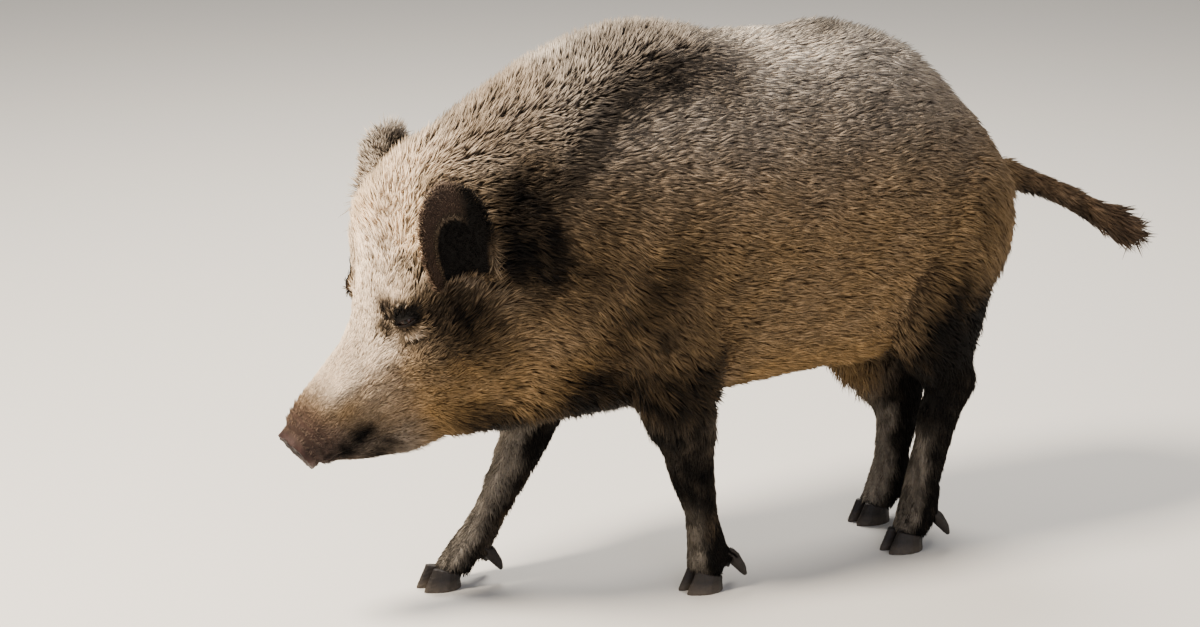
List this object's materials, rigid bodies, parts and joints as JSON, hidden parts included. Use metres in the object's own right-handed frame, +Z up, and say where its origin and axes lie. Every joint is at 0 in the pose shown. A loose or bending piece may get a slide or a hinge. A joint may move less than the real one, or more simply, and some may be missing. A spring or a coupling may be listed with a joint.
{
  "type": "wild boar model",
  "caption": "Life-size still model of an adult wild boar sow walking with her head lowered, coarse grey-brown coat, upright ears, long snout and a thin tail.",
  "frame": {"origin": "on the floor under the middle of the model's box", "axes": "+X from the snout to the tail, +Y to the animal's right side, +Z up"},
  "size_m": [1.3576, 0.3662, 0.7597],
  "materials": {
    "coat": "coarse agouti hair, matt",
    "snout_skin": "bare, slightly moist skin",
    "claw_horn": "worn dark horn",
    "eye": "wet and glossy"
  },
  "bodies": {
    "root": {"belly": "coat", "chest": "coat", "ear_left": "coat", "ear_right": "coat", "eye_left": "eye", "eye_right": "eye", "foreleg_left_cannon": "coat", "foreleg_left_claw_inner": "claw_horn", "foreleg_left_claw_outer": "claw_horn", "foreleg_left_dewclaw_inner": "claw_horn", "foreleg_left_dewclaw_outer": "claw_horn", "foreleg_left_forearm": "coat", "foreleg_left_pastern": "coat", "foreleg_right_cannon": "coat", "foreleg_right_claw_inner": "claw_horn", "foreleg_right_claw_outer": "claw_horn", "foreleg_right_dewclaw_inner": "claw_horn", "foreleg_right_dewclaw_outer": "claw_horn", "foreleg_right_forearm": "coat", "foreleg_right_pastern": "coat", "head": "coat", "hindleg_left_cannon": "coat", "hindleg_left_claw_inner": "claw_horn", "hindleg_left_claw_outer": "claw_horn", "hindleg_left_dewclaw_inner": "claw_horn", "hindleg_left_dewclaw_outer": "claw_horn", "hindleg_left_pastern": "coat", "hindleg_left_shank": "coat", "hindleg_right_cannon": "coat", "hindleg_right_claw_inner": "claw_horn", "hindleg_right_claw_outer": "claw_horn", "hindleg_right_dewclaw_inner": "claw_horn", "hindleg_right_dewclaw_outer": "claw_horn", "hindleg_right_pastern": "coat", "hindleg_right_shank": "coat", "lower_jaw": "coat", "neck": "coat", "rump": "coat", "snout_disc": "snout_skin", "tail": "coat", "tail_brush": "coat"}
  },
  "joints": []
}
